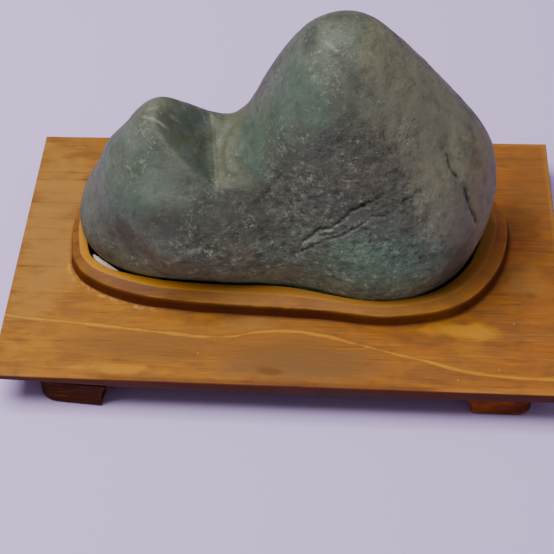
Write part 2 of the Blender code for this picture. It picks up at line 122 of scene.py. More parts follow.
# Patches of mineral colour: centre, half sizes, which colour, and how strong it is.
PATCHES = (
    ((6.0, -18.0, 112.0), (16.0, 26.0, 28.0), "green", 0.80),
    ((22.0, -6.0, 134.0), (17.0, 26.0, 14.0), "pale", 0.40),
    ((8.5, 1.0, 134.5), (8.0, 8.0, 4.5), "dark", 0.60),
    ((24.0, 4.0, 141.0), (12.0, 8.0, 4.0), "brown", 0.30),
    ((36.0, -4.0, 132.0), (11.0, 16.0, 12.0), "olive", 0.70),
    ((54.0, -10.0, 104.0), (28.0, 36.0, 40.0), "olive", 0.95),
    ((20.0, -30.0, 90.0), (30.0, 20.0, 25.0), "brown", 0.95),
    ((66.0, -30.0, 78.0), (14.0, 16.0, 30.0), "olive", 0.80),
    ((40.0, -40.0, 50.0), (36.0, 16.0, 19.0), "green", 0.85),
    ((86.0, -8.0, 66.0), (15.0, 34.0, 40.0), "mauve", 0.90),
    ((-68.0, -18.0, 74.0), (26.0, 26.0, 28.0), "green", 0.65),
    ((-46.0, -24.0, 79.0), (14.0, 13.0, 13.0), "pale", 0.75),
    ((-62.0, -12.0, 92.0), (9.0, 10.0, 9.0), "pale", 0.35),
    ((-86.0, -10.0, 56.0), (10.0, 20.0, 24.0), "green", 0.55),
    ((-13.0, -10.0, 88.0), (11.0, 20.0, 16.0), "green", 0.80),
    ((-52.0, -34.0, 50.0), (36.0, 18.0, 19.0), "brown", 0.95),
    ((-10.0, -28.0, 67.0), (30.0, 16.0, 13.0), "brown", 0.90),
    ((-60.0, 6.0, 104.0), (14.0, 14.0, 8.0), "olive", 0.30),
    ((-90.0, -4.0, 54.0), (16.0, 38.0, 42.0), "pale_olive", 0.75),
    ((-48.0, -33.0, 66.0), (10.0, 9.0, 8.0), "brown", 0.55),
    ((-67.0, -14.0, 80.0), (11.0, 12.0, 11.0), "dark_olive", 0.35),
    ((-17.0, -24.0, 72.0), (10.0, 9.0, 8.0), "dark", 0.22),
    ((20.0, -35.0, 44.0), (13.0, 9.0, 9.0), "dark", 0.20),
    ((31.0, -32.0, 92.0), (13.0, 10.0, 12.0), "mauve", 0.13),
    ((-18.0, -34.0, 53.0), (14.0, 9.0, 9.0), "mauve", 0.12),
    ((-84.5, -6.0, 27.0), (2.2, 3.5, 2.2), "moss", 0.90),
)

# ---- Places on the stand, in millimetres -----------------------------------
SEAT_CENTRE = (0.0, 6.0)
BOARD_TOP = 18.0
SEAT_FLOOR_Z = 16.4
# Growth lines that show at the left end of the board: Y and how dark they are.
RING_LINES = ((-56.0, 0.4), (-28.0, 0.4), (-11.9, 0.7), (5.5, 0.7), (19.5, 0.6), (30.0, 0.7),
              (37.0, 0.5), (46.2, 0.7), (51.5, 0.8))
RING_SPAN = 80.0            # they are laid out from this far in front to this far behind
# Places on the board where the stain took differently, and among them one painted shadow and one
# patch partly of painted light: centre, half sizes, colour, strength.
STAINS = (
    ((-108.0, 20.0, 18.0), (16.0, 70.0, 6.0), "straw", 0.60),
    ((112.0, 50.0, 18.0), (12.0, 30.0, 6.0), "tan", 0.50),
    ((8.0, -66.0, 18.0), (34.0, 10.0, 6.0), "smoke", 0.60),
    ((77.0, -45.0, 18.0), (19.0, 5.5, 6.0), "latewood", 0.85),
    ((-69.0, -71.5, 18.0), (18.0, 3.0, 6.0), "latewood", 0.55),
    ((-104.0, -64.0, 18.0), (9.0, 16.0, 6.0), "latewood", 0.20),
    ((-60.0, -58.0, 18.0), (34.0, 9.0, 6.0), "tan", 0.60),
    ((5.0, -62.0, 18.0), (38.0, 13.0, 6.0), "tan", 0.70),
    ((-5.0, -70.5, 18.0), (5.5, 2.6, 6.0), "dark", 0.30),
    # Painted shadow: the shadow the rock casts on the board to its right.
    ((104.0, 24.0, 18.0), (9.0, 19.0, 6.0), "dark", 0.30),
    ((-14.0, -43.0, 18.0), (14.0, 5.0, 6.0), "straw", 0.45),
    ((67.0, -37.0, 18.0), (10.0, 5.0, 6.0), "latewood", 0.30),
    ((103.0, -14.0, 18.0), (10.0, 12.0, 6.0), "straw", 0.35),
    # Partly the redder wood at the lip's right end, partly painted light in the rock's shade there.
    ((88.0, -2.0, 24.0), (14.0, 26.0, 9.0), "foot_red", 0.60),
)
PAINTED_LIGHT_OUTER = 0.24            # how much painted light lightens the lip's outer facet at the front
PAINTED_LIGHT_INNER = 0.40          # and its inner facet there
PAINTED_LIGHT_RIGHT = 0.50          # and its inner facet at the right end
PAINTED_LIGHT_GAP = (280.0, 18.0)     # plan angle where the outer facet gets less painted light, how far round
SNUG = 1.2                  # how much nearer the seat wall comes to the rock at its right end
LIP_GAUGE = (23.3, 0.88)    # height of a ring on the solid's lip, and its share of its width
# Section of the lip: share of its width, height above the board.
LIP_SECTION = (
    (0.0, 6.3), (0.012, 6.6), (0.035, 6.8), (0.07, 6.92), (0.14, 7.0), (0.24, 7.1), (0.34, 7.18),
    (0.43, 7.22), (0.47, 7.15), (0.50, 6.9), (0.54, 6.7), (0.62, 6.35), (0.7, 6.0), (0.78, 5.65),
    (0.84, 5.4), (0.87, 5.3), (0.89, 5.2), (0.905, 4.9), (0.92, 4.3), (0.94, 3.4), (0.955, 2.5),
    (0.97, 1.6), (0.983, 0.8), (0.993, 0.3), (1.005, 0.05),
)
FRESH_CUT = (150.0, 222.0)      # plan angles between which the inner facet was cut afresh
CHIPPED = (193.0, 216.0)        # plan angles between which the lip's foot is chipped by the chisel
NIBBLE = 0.22               # how far the chisel's marks stand out along the lip's inner rim
NIBBLE_DROP = 0.4           # and how far they drop its edge
LIP_FOOT = 1.02             # share of the lip's width at which the board's flat top starts
LIP_HALF = (80.0, 40.0)     # half sizes of the lip, along which the tool marks are spaced
# How much painted shade darkens the seat's floor, its wall, the board's edge and its underside.
SEAT_SHADE, WALL_SHADE, EDGE_SHADE, UNDER_SHADE = 0.8, 0.9, 0.92, 0.7
ROUND_STEPS = 576           # points round the board's rings
WALL_SMOOTHING = 12         # rounds of evening out the solid's facets
FLAT_RINGS = 30             # rings from the lip's foot to the board's edge
TOP_SPACING = 1.6           # power that crowds them towards the lip
UNDER_RINGS = 8
TOP_SETTLE = 0.05           # how far the waving top lies below the solid's
# Inset and drop of each ring over the top arris.
EDGE_ROUND = ((1.2, 0.0), (0.55, 0.06), (0.22, 0.2), (0.06, 0.45), (0.0, 0.9))
EDGE_SHARES = (0.35, 0.7, 1.0)  # rings down the upright edge
ARRIS_SHADE_SPANS = ((-84.0, -70.0), (76.0, 56.0))  # X over which the painted shade along the middle of the front arris comes and goes
RIM_HEIGHTS = (12.9, 17.3)  # heights between which the foot of the upright edge lies
UNDERCUT = 3.0              # how far in the underside's bevel runs
HALF_LENGTH = 120.0
WOOD_SPECULAR = 0.18        # how strongly the satin wood reflects
# The pale growth line across the front of the board, in X and Y.
FRONT_LINE = (
    (-120.0, -42.2), (-99.8, -44.8), (-78.0, -46.9), (-47.7, -50.4), (-34.9, -51.7), (-22.2, -51.2),
    (-9.6, -48.4), (3.0, -47.4), (15.8, -49.2), (28.5, -52.8), (49.4, -59.3), (61.8, -62.8),
    (74.1, -66.8), (86.3, -69.1), (98.5, -70.2), (120.0, -70.4),
)
LINE_SPAN = (-75.0, -40.0)  # Y that the line stays between
LINE_MEAN = 52.0            # how far in front of the middle it runs on average

# ---- Feet ------------------------------------------------------------------
FOOT_ARRIS = 0.4
FOOT_SPECULAR = 0.05        # and the duller feet
FOOT_STAIN = 0.45           # how much of the dark stain the feet took

# ---- Stage -----------------------------------------------------------------
FLOOR_SIZE = 6.0            # metres
FLOOR_DROP = 0.2            # how far the floor lies below the feet
FLOOR_LIGHT_FADE = (-120.0, 420.0)    # Y over which painted light makes the floor paler
ROOM_COLOUR = "#e6defa"
KEY_COLOUR = "#fdf9ff"
KEY_SIZE = 0.8              # metres
KEY_AIM = (0.0, 0.0, 0.05)  # metres
KEY_DIRECTION = (-0.36, -0.06, 0.93)    # nearly overhead, a little to the left
KEY_DISTANCE = 1.1          # metres
CAMERA_PLACE = (0.0253, -0.4993, 0.5029)    # metres
CAMERA_LENS = 101.7
SENSOR_WIDTH = 36.0
CAMERA_PITCH, CAMERA_YAW, CAMERA_ROLL = 45.0, -3.47, -0.98   # degrees


# ---- Settings --------------------------------------------------------------
def linear(code):
    """Turn an sRGB hex colour into a linear one with alpha."""
    parts = [int(code[i:i + 2], 16) / 255.0 for i in (1, 3, 5)]
    return tuple(part / 12.92 if part <= 0.04045 else ((part + 0.055) / 1.055) ** 2.4
                 for part in parts) + (1.0,)


def colour(name, description, code):
    """Return a colour setting whose default is an sRGB hex colour."""
    return bpy.props.FloatVectorProperty(
        name=name, description=description, size=4, subtype="COLOR", min=0.0, max=1.0,
        default=linear(code))


def length(name, description, millimetres):
    """Return a length setting whose default is in millimetres."""
    return bpy.props.FloatProperty(
        name=name, description=description, default=millimetres * MM, unit="LENGTH",
        subtype="DISTANCE")


class RockLook(bpy.types.PropertyGroup):
    """Sizes and colours of the rock."""

    relief: length("Relief", "Height of the rough relief on the lower half", 0.42)
    swell: length("Swell", "Height of the gentle swells all over", 0.5)
    base: colour("Base", "Grey-green body of the stone", "#565c49")
    green: colour("Green", "Green mineral patches", "#4e614e")
    pale: colour("Pale green", "Pale rubbed patches", "#667260")
    teal: colour("Teal", "Dark blue-green of the worn face", "#4e5b51")
    olive: colour("Olive", "Olive grey of the right side", "#7b7b60")
    dark_olive: colour("Dark olive", "Dark olive foot of the worn face", "#505543")
    pale_olive: colour("Pale olive", "Pale strip in the notch", "#575c46")
    brown: colour("Brown grey", "Dark brown-grey bands", "#48483c")
    mauve: colour("Mauve grey", "Warm grey rims", "#857c56")
    moss: colour("Moss", "Green stain just above the seat", "#2f6a32")
    # This dark colour is also painted into the crevices and pits as shade.
    dark: colour("Dark", "Dust in crevices and dark spots", "#262622")
    fleck: colour("Fleck", "Pale crystals and veins", "#8b917c")


class StandLook(bpy.types.PropertyGroup):
    """Sizes and colours of the stand and the packing."""

    ring_spacing: length("Ring spacing", "Mean distance between growth rings", 9.0)
    amber: colour("Amber stain", "Yellow amber of the stained pine", "#a46c1e")
    tan: colour("Tan stain", "Grey-tan of the worn pine", "#7e5427")
    brown: colour("Brown stain", "Red-brown of the stained pine", "#a06122")
    latewood: colour("Latewood", "Pale hard growth lines", "#c4861e")
    # This dark colour is also laid on as painted shade in the seat, on the lip's wall and foot and
    # on the board's edge and underside.
    dark: colour("Dark stain", "Stain gathered in corners and on edges", "#431604")
    # The bare colour also serves as painted light and painted highlights on the lip and the top
    # arris.
    bare: colour("Bare wood", "Rubbed and chipped wood", "#cf983e")
    straw: colour("Straw stain", "Grey straw of the board's faded left end", "#a2783a")
    smoke: colour("Grey smudge", "Grey-olive smudge at the middle of the front", "#735f3c")
    foot: colour("Foot stain", "Dark brown of the left feet", "#352412")
    foot_red: colour("Red foot stain", "Red-brown of the right feet and lip end", "#b26024")
    packing: colour("Packing", "Cream of the packing sliver", "#d2d0b4")


class StudioLook(bpy.types.PropertyGroup):
    """Floor and light."""

    floor: colour("Floor", "Pale lavender grey floor", "#d7c2f0")
    # The paler far floor is painted light.
    floor_lit: colour("Far floor", "Paler floor behind the stand", "#e6cfff")
    key_power: bpy.props.FloatProperty(
        name="Key light", description="Power of the key light", default=18.2, unit="POWER")
    fill: bpy.props.FloatProperty(
        name="Fill light", description="Strength of the even light", default=0.27)


# ---- Node helper -----------------------------------------------------------
SOFT = {"interpolation_type": "SMOOTHSTEP"}     # a map range that starts and ends softly
COLOURS = {"data_type": "RGBA"}                 # a mix of two colours


def add(tree, kind, inputs=(), out=None, **settings):
    """Add one node with its settings and return one of its outputs, the first if none is named.

    Inputs are given by name, or in the order that the node shows them, and each is a value or a
    socket to link.
    """
    made = tree.nodes.new("ShaderNode" + kind)
    for name, value in settings.items():
        setattr(made, name, value)
    if isinstance(inputs, dict):
        given = [(made.inputs[name], value) for name, value in inputs.items()]
    else:
        given = zip([socket for socket in made.inputs if socket.enabled], inputs)
    for socket, value in given:
        if isinstance(value, bpy.types.NodeSocket):
            tree.links.new(value, socket)
        else:
            socket.default_value = value
    return made.outputs[out] if out else next(shown for shown in made.outputs if shown.enabled)


def new_material(name):
    """Return a new material, its node tree and its empty shader."""
    made = bpy.data.materials.new(name)
    made.use_nodes = True
    shader = made.node_tree.nodes["Principled BSDF"]
    shader.inputs["Metallic"].default_value = 0.0
    return made, made.node_tree, shader


def in_millimetres(tree):
    """Return the object coordinates in millimetres."""
    place = add(tree, "TexCoord", out="Object")
    return add(tree, "VectorMath", (place, (1.0 / MM,) * 3), operation="MULTIPLY")


def mottle(tree, place, size, stretch=(1.0, 1.0, 1.0), detail=4.0, rough=0.55, distort=0.0,
           shift=0.0, turn=(0.0, 0.0, 0.0)):
    """Return a cloudy pattern of grains about size millimetres, stretched along turned axes."""
    if any(turn):
        place = add(tree, "Mapping", {"Vector": place, "Rotation": turn})
    start = (shift, shift * 0.7, shift * 1.3)
    scale = [1.0 / (size * share) for share in stretch]
    place = add(tree, "Mapping", {"Vector": place, "Location": start, "Scale": scale})
    return add(tree, "TexNoise", {"Vector": place, "Scale": 1.0, "Detail": detail,
                                  "Roughness": rough, "Distortion": distort}, "Fac")


def laid(tree, tint, over, pattern, low, high, strength=1.0):
    """Lay a colour over a tint, from nothing where a pattern is low to its strength at high."""
    share = add(tree, "MapRange", (pattern, low, high, 0.0, strength), **SOFT)
    return add(tree, "Mix", (share, tint, over), **COLOURS)


def masked(tree, tint, over, name, strength=1.0):
    """Lay a colour over a tint by a number stored on the piece's points."""
    share = add(tree, "Attribute", out="Fac", attribute_name=name)
    share = add(tree, "Math", (share, strength), operation="MULTIPLY")
    return add(tree, "Mix", (share, tint, over), **COLOURS)


def patched(tree, place, tint, look, table, ragged, waver, outer, inner):
    """Lay a table's patches of colour over a tint, with rims that waver by the ragged pattern."""
    for centre, sizes, name, strength in table:
        offset = add(tree, "VectorMath", (place, centre), operation="SUBTRACT")
        scaled = add(tree, "VectorMath", (offset, sizes), operation="DIVIDE")
        reach = add(tree, "VectorMath", (scaled,), operation="LENGTH")
        reach = add(tree, "Math", (reach, -waver / 2.0), operation="ADD")
        reach = add(tree, "Math", (ragged, waver, reach), operation="MULTIPLY_ADD")
        tint = laid(tree, tint, getattr(look, name), reach, outer, inner, strength)
    return tint


def surface(tree, shader, tint, cloud, gloss, index, specular, bump):
    """Give a shader its tint, a roughness that follows the clouds, and its relief."""
    strength, distance, height = bump
    rough = add(tree, "MapRange", (cloud, 0.3, 0.7, *gloss), **SOFT)
    raised = add(tree, "Bump", {"Strength": strength, "Distance": distance, "Height": height})
    for name, socket in (("Base Color", tint), ("Roughness", rough), ("Normal", raised)):
        tree.links.new(socket, shader.inputs[name])
    shader.inputs["IOR"].default_value = index
    shader.inputs["Specular IOR Level"].default_value = specular


# ---- Mesh helpers ----------------------------------------------------------
def alone(piece):
    """Select one piece and make it active."""
    bpy.ops.object.select_all(action="DESELECT")
    piece.select_set(True)
    bpy.context.view_layer.objects.active = piece


def edit(piece, *steps):
    """Run mesh operators, each with its settings, on the whole of one piece."""
    alone(piece)
    bpy.ops.object.mode_set(mode="EDIT")
    bpy.ops.mesh.select_all(action="SELECT")
    for operator, settings in steps:
        operator(**settings)
    bpy.ops.object.mode_set(mode="OBJECT")


def working_copy(node, name):
    """Return a merged copy of a solid, selected alone."""
    piece = bpy.data.objects.new(name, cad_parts[node].data.copy())
    bpy.context.scene.collection.objects.link(piece)
    piece.data.name = name
    piece.data.materials.clear()
    alone(piece)
    if piece.data.has_custom_normals:
        bpy.ops.mesh.customdata_custom_splitnormals_clear()
    edit(piece, (bpy.ops.mesh.remove_doubles, {"threshold": 0.01 * MM}))
    return piece


def apply_modifier(piece, kind, **settings):
    """Add a modifier to a piece and apply it."""
    alone(piece)
    made = piece.modifiers.new(kind.title(), kind)
    for name, value in settings.items():
        setattr(made, name, value)
    bpy.ops.object.modifier_apply(modifier=made.name)


def points_of(piece):
    """Return the piece's points in millimetres and their normals."""
    count = len(piece.data.vertices)
    places = np.empty(count * 3)
    piece.data.vertices.foreach_get("co", places)
    normals = np.empty(count * 3, np.float32)
    piece.data.vertex_normals.foreach_get("vector", normals)
    return places.reshape(-1, 3) / MM, normals.reshape(-1, 3).astype(float)


def set_points(piece, places):
    """Give the piece's points new places in millimetres."""
    piece.data.vertices.foreach_set("co", (places * MM).ravel())
    piece.data.update()


def store(piece, **marks):
    """Store named numbers from 0 to 1 on the points of the piece."""
    for name, values in marks.items():
        made = piece.data.attributes.new(name, "FLOAT", "POINT")
        made.data.foreach_set("value", np.clip(values, 0.0, 1.0).astype(np.float32))


def notch_planes():
    """Return the normals of the worn face and the notch's floor, and how far out each lies."""
    planes = (WORN_FACE, NOTCH_FLOOR)
    units = [np.array(normal) / np.linalg.norm(normal) for _, normal in planes]
    return units, [np.array(place) @ unit for (place, _), unit in zip(planes, units)]


def soft(value, start, end):
    """Rise from 0 at start to 1 at end with a soft curve."""
    share = np.clip((value - start) / (end - start), 0.0, 1.0)
    return share * share * (3.0 - 2.0 * share)


def grain(points, size, octaves=3, stretch=(1.0, 1.0, 1.0), shift=0.0):
    """Return noise between about -1 and 1 at each point, with grains of about size."""
    scaled = points / (size * np.array(stretch)) + shift
    return np.array([noise.fractal(Vector(p), 1.0, 2.0, octaves) for p in scaled])


def inside_any(points, table, outer, inner):
    """Return how deep each point lies in the nearest of a table's ellipsoids, from 0 to 1."""
    depth = np.zeros(len(points))
    for centre, sizes in table:
        reach = np.linalg.norm((points - np.array(centre)) / np.array(sizes), axis=1)
        depth = np.maximum(depth, soft(reach, outer, inner))
    return depth


def line_reach(points, line):
    """Return the distance of each point to a line of points, and the share along it."""
    corners = np.array(line)
    steps = np.diff(corners, axis=0)
    lengths = np.linalg.norm(steps, axis=1)
    before = np.concatenate([[0.0], np.cumsum(lengths)])
    best = np.full(len(points), np.inf)
    share = np.zeros(len(points))
    for corner, stride, span, start in zip(corners, steps, lengths, before):
        offset = points - corner
        along = np.clip(offset @ stride / span ** 2, 0.0, 1.0)
        gap = np.linalg.norm(offset - along[:, None] * stride, axis=1)
        share = np.where(gap < best, (start + along * span) / before[-1], share)
        best = np.minimum(best, gap)
    return best, share


def line_mark(points, line, half_width, fade=0.15):
    """Return a mark from 0 to 1 along a line that fades out at its ends."""
    reach, share = line_reach(points, line)
    ends = soft(share, -0.02, fade) * soft(share, 1.02, 1.0 - fade)
    return np.exp(-(reach / half_width) ** 2) * ends


def finish(piece, material, slot, *nodes):
    """Give a finished piece its material and its body; the slot is not used."""
    piece.data.materials.clear()
    piece.data.materials.append(material)
    piece.data.shade_smooth()
    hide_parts(*nodes)
    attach(piece, "root")


# ---- Rock ------------------------------------------------------------------
def stone_material(look):
    """River-worn greenstone, tumbled smooth above and pitted below, dry and unpolished."""
    material, tree, shader = new_material("river_worn_greenstone")
    place = in_millimetres(tree)
    # Clouded mineral body: patches of 10 to 40 mm with ragged edges.
    broad = mottle(tree, place, 26.0, detail=5.0, distort=0.8)
    ragged = mottle(tree, place, 7.0, detail=6.0, rough=0.6, shift=3.0)
    tint = laid(tree, look.base, look.brown, broad, 0.38, 0.62)
    tint = laid(tree, tint, look.green, broad, 0.52, 0.70, 0.5)
    tint = patched(tree, place, tint, look, PATCHES, ragged, 1.2, 1.25, 0.50)
    # The worn face is dark blue-green and olive in turns, and the notch beside it is pale, with a
    # sharp line between them and a rubbed line just past it.
    face = laid(tree, look.teal, look.dark_olive, ragged, 0.40, 0.60)
    units, levels = notch_planes()
    past = add(tree, "VectorMath", (place, tuple(units[0] - units[1])), operation="DOT_PRODUCT")
    past = add(tree, "Math", (past, levels[1] - levels[0]), operation="ADD")
    near_side = add(tree, "MapRange", (past, 0.15, -0.15), **SOFT)
    tint = masked(tree, tint, face, "face", near_side)
    far_side = add(tree, "MapRange", (past, -0.15, 0.15), **SOFT)
    tint = masked(tree, tint, look.pale_olive, "notch", far_side)
    line = add(tree, "Math", (past, 0.8), operation="SUBTRACT")
    line = add(tree, "Math", (line,), operation="ABSOLUTE")
    line = add(tree, "MapRange", (line, 0.7, 0.2, 0.0, 0.25), **SOFT)
    tint = masked(tree, tint, look.fleck, "notch", line)
    # Soft clouds of 5 to 8 mm lighten and darken the body.
    cloud = mottle(tree, place, 6.0, detail=4.0, rough=0.6, distort=0.4, shift=9.0)
    tint = laid(tree, tint, look.pale, cloud, 0.50, 0.72, 0.28)
    tint = laid(tree, tint, look.dark, cloud, 0.50, 0.30, 0.30)
    # Short pale streaks of mineral in the smooth places.
    where = mottle(tree, place, 11.0, detail=2.0, shift=57.0)
    flaky = add(tree, "Attribute", out="Fac", attribute_name="flaky")
    where = add(tree, "Math", (flaky, 0.25, where), operation="MULTIPLY_ADD")
    where = add(tree, "MapRange", (where, 0.50, 0.66, 0.0, 0.42), **SOFT)
    for turn, shift in (((0.4, 0.6, 0.0), 51.0), ((-0.2, -0.5, 0.3), 53.0)):
        flake = mottle(tree, place, 1.5, (1.0, 1.0, 2.4), 4.0, 0.65, 0.8, shift, turn)
        tint = laid(tree, tint, look.fleck, flake, 0.57, 0.64, where)
    # Pale crystals and dark pits of about 1 mm crowd the pitted places and are few above them.
    rough = add(tree, "Attribute", out="Fac", attribute_name="rough")
    crowd = mottle(tree, place, 8.0, detail=3.0, shift=23.0)
    for size, shift, low, high, top in ((2.0, 17.0, 0.60, 0.67, 0.30),
                                        (1.1, 61.0, 0.62, 0.70, 0.18)):
        speck = mottle(tree, place, size, (1.5, 1.0, 0.9), 3.0, 0.65, 0.0, shift)
        speck = add(tree, "Math", (speck, 0.175), operation="SUBTRACT")
        speck = add(tree, "Math", (crowd, 0.35, speck), operation="MULTIPLY_ADD")
        share = add(tree, "Math", (rough, top, 0.12), operation="MULTIPLY_ADD")
        tint = laid(tree, tint, look.fleck, speck, low, high, share)
    pit = mottle(tree, place, 1.3, detail=3.0, rough=0.6, shift=71.0)
    share = add(tree, "Math", (rough, 0.38, 0.10), operation="MULTIPLY_ADD")
    pit = add(tree, "MapRange", (pit, 0.40, 0.33, 0.0, share), **SOFT)
    tint = add(tree, "Mix", (pit, tint, look.dark), **COLOURS)
    # The 'worn' mark is painted highlight on the proud edges, on the lips under the seams and on
    # the tops of the coarse grain.
    tint = masked(tree, tint, look.fleck, "worn", 0.50)
    tint = masked(tree, tint, look.fleck, "vein", 0.75)
    # Painted fill light lightens the sides that turn down towards the seat.
    dusty = add(tree, "Attribute", out="Fac", attribute_name="dusty")
    tint = add(tree, "Mix", (dusty, tint, PAINTED_FILL_LIFT), blend_type="MULTIPLY", **COLOURS)
    # Painted shade darkens the crevices and pits.
    tint = masked(tree, tint, look.dark, "cavity", 0.85)
    # Grit of 0.5 to 1.5 mm, stronger on the pitted places.
    grit = mottle(tree, place, 1.4, detail=5.0, rough=0.65, shift=31.0)
    share = add(tree, "Math", (rough, 0.90, 0.12), operation="MULTIPLY_ADD")
    height = add(tree, "Math", (grit, share), operation="MULTIPLY")
    sunk = add(tree, "Math", (pit, 0.4), operation="MULTIPLY")
    height = add(tree, "Math", (height, sunk), operation="SUBTRACT")
    surface(tree, shader, tint, cloud, (0.64, 0.50), 1.55, 0.24, (1.0, 0.9 * MM, height))
    return material


class SCHOLARS_ROCK_OT_rock(bpy.types.Operator):
    """Dress the rock: crisp notch, crevices, swells, rough lower band and mineral colours"""

    bl_idname = "scholars_rock.rock"
    bl_label = "Rock"

    def execute(self, context):
        look = context.scene.rock_look
        rock = working_copy("rock", "rock_stone")
        apply_modifier(rock, "SUBSURF", levels=2, render_levels=2)
        points, normals = points_of(rock)
        floor = points[:, 2].min()
        # The sides that turn down towards the seat get painted fill light.
        dusty = soft(normals[:, 2], 0.50, -0.30) * soft(np.abs(normals[:, 0]), 0.75, 0.25)

        # The worn face and the floor of the notch meet in a crisp crease.
        units, levels = notch_planes()
        beyond = np.stack([points @ unit - level for unit, level in zip(units, levels)])
        nearest = beyond.argmin(axis=0)
        depth = beyond.min(axis=0)
        low, back, left = NOTCH_REGION
        near = soft(points[:, 2], *low) * soft(points[:, 1], *back) * soft(points[:, 0], *left)
        inside = soft(depth, -0.5, 0.1) * soft(depth, 2.1, 1.2) * near
        inside *= soft(points[:, 0], -18.0, -26.0) * soft(points[:, 2], 97.0, 88.0)
        points = points - np.array(units)[nearest] * (depth * inside)[:, None]
        lifted = NOTCH_LIFT * soft(points[:, 2], *NOTCH_ROUNDING)
        wide = near * soft(np.abs(depth - lifted), 4.5, 2.5)
        near *= soft(np.abs(depth - lifted), 1.8, 1.2)
        past = beyond[0] - beyond[1]
        face = near * soft(past, 1.0, 0.6) * soft(points[:, 0], -26.0, -29.0)
        notch = wide * soft(past, 16.0, 8.0) * soft(points[:, 2], 72.0, 78.0)

        # Where it is finely pitted.
        shaken = points + grain(points, 14.0, 2)[:, None] * 6.0
        rough = np.maximum(LEAST_ROUGH, inside_any(shaken, PITTED, 1.30, 0.50))
        rough = np.maximum(rough, soft(shaken[:, 2], 52.0, 36.0) * 0.45)
        rough *= 1.0 - 0.9 * np.maximum(face, notch)
        rough *= 1.0 - 0.85 * inside_any(points, (SMOOTH_PLATE,), 1.1, 0.8)

        # Swells, coarse grain and pits.
        lift = grain(points, 26.0, 2, shift=5.0) * look.swell / MM
        lift += grain(points, 8.0, 2, shift=11.0) * 0.18
        coarse = grain(points, 3.2, 3, shift=21.0)
        lift += coarse * rough * look.relief / MM
        pits = soft(grain(points, 2.6, 2, shift=41.0), 0.18, 0.55)
        lift -= pits * (0.05 + 0.25 * rough)
        # Painted shade darkens the pits where the stone is pitted.
        cavity = pits * rough * 0.35
        # Painted highlight lightens the tops of the coarse grain.
        worn = soft(coarse, 0.25, 0.8) * rough * 0.4

        # Crevices, proud edges and veins run a little ragged and broken.
        ragged = [grain(points, 2.2, 2, shift=shift) for shift in (81.0, 91.0, 101.0)]
        ragged = np.column_stack(ragged) * 0.7
        broken = soft(grain(points, 3.0, 2, shift=111.0), -0.5, 0.2)
        # Painted shade darkens each crevice as well as its sunk groove.
        for line, half_width, deep in GROOVES:
            mark = line_mark(points + ragged, line, half_width) * (0.65 + 0.35 * broken)
            lift -= mark * deep
            cavity = np.maximum(cavity, mark)
        # Painted highlight lightens each proud edge.
        for line, half_width, high in RIDGES:
            mark = line_mark(points + ragged * 0.5, line, half_width) * (0.5 + 0.5 * broken)
            lift += mark * high
            worn = np.maximum(worn, mark * 0.5)
        # The lip under each seam faces up and gets a painted highlight.
        raised = points + ragged + np.array((0.0, 0.0, LIP_BELOW_SEAM))
        for line in (SEAM_ABOVE, SEAM_BELOW):
            mark = line_mark(raised, line, 0.7) * broken
            lift += mark * 0.25
            worn = np.maximum(worn, mark * (1.0 - cavity))
        vein = np.max([line_mark(points + ragged * 0.3, line, half_width)
                       for line, half_width in VEINS], axis=0)

        # It stays as it is where it goes down into the seat.
        lift *= soft(points[:, 2], *SEAT_REACH) * 0.85 + 0.15 * (points[:, 2] > floor + 0.5)
        moved = points + normals * lift[:, None]
        moved[:, 2] = np.maximum(moved[:, 2], floor)
        set_points(rock, moved)
        store(rock, rough=rough, cavity=cavity, worn=worn, vein=vein, face=face, notch=notch,
              dusty=dusty, flaky=inside_any(shaken, FLAKY, 1.2, 0.5))
        finish(rock, stone_material(look), "rock", "rock")
        return {"FINISHED"}


# ---- Stand -----------------------------------------------------------------
def front_line(tree, across):
    """Return Y of the pale front line at each X."""
    low, high = LINE_SPAN
    share = add(tree, "MapRange", (across, -HALF_LENGTH, HALF_LENGTH))
    curve = add(tree, "FloatCurve", {"Value": share})
    places = [((x + HALF_LENGTH) / (2.0 * HALF_LENGTH), (y - low) / (high - low))
              for x, y in FRONT_LINE]
    mapping = curve.node.mapping
    points = mapping.curves[0].points
    for place in places[1:-1]:
        points.new(*place)
    points[0].location, points[-1].location = places[0], places[-1]
    mapping.update()
    return add(tree, "Math", (curve, high - low, low), operation="MULTIPLY_ADD")


def ring_phase(tree, look, along, line, wander, uneven):
    """Return how far through a growth ring each place lies, from 0 to 1."""
    # The rings follow the pale front line and straighten towards the back.
    bend = add(tree, "MapRange", (along, 10.0, -45.0, 0.25, 1.0), **SOFT)
    ahead = add(tree, "Math", (line, LINE_MEAN), operation="ADD")
    ahead = add(tree, "Math", (ahead, bend), operation="MULTIPLY")
    rings = add(tree, "Math", (along, ahead), operation="SUBTRACT")
    for pattern, span in ((wander, 5.0), (uneven, 16.0)):
        stray = add(tree, "Math", (pattern, span, -span / 2.0), operation="MULTIPLY_ADD")
        rings = add(tree, "Math", (rings, stray), operation="ADD")
    spacing = look.ring_spacing / MM
    rings = add(tree, "Math", (rings, LINE_MEAN + 20.0 * spacing), operation="ADD")
    rings = add(tree, "Math", (rings, spacing), operation="DIVIDE")
    return add(tree, "Math", (rings,), operation="FRACT")


def thin_lines(tree, along, wander):
    """Return how dark the thin lines are that end a few of the rings."""
    place = add(tree, "Math", (along, -2.0), operation="ADD")
    place = add(tree, "Math", (wander, 4.0, place), operation="MULTIPLY_ADD")
    place = add(tree, "MapRange", (place, -RING_SPAN, RING_SPAN))
    ramp = add(tree, "ValToRGB", (place,))
    stops = ramp.node.color_ramp.elements
    stops[0].color = stops[1].color = (0.0, 0.0, 0.0, 1.0)
    for y, strength in RING_LINES:
        for offset, shade in ((-1.1, 0.0), (0.0, strength), (0.5, 0.0)):
            stop = stops.new((y + offset + RING_SPAN) / (2.0 * RING_SPAN))
            stop.color = (shade, shade, shade, 1.0)
    return ramp


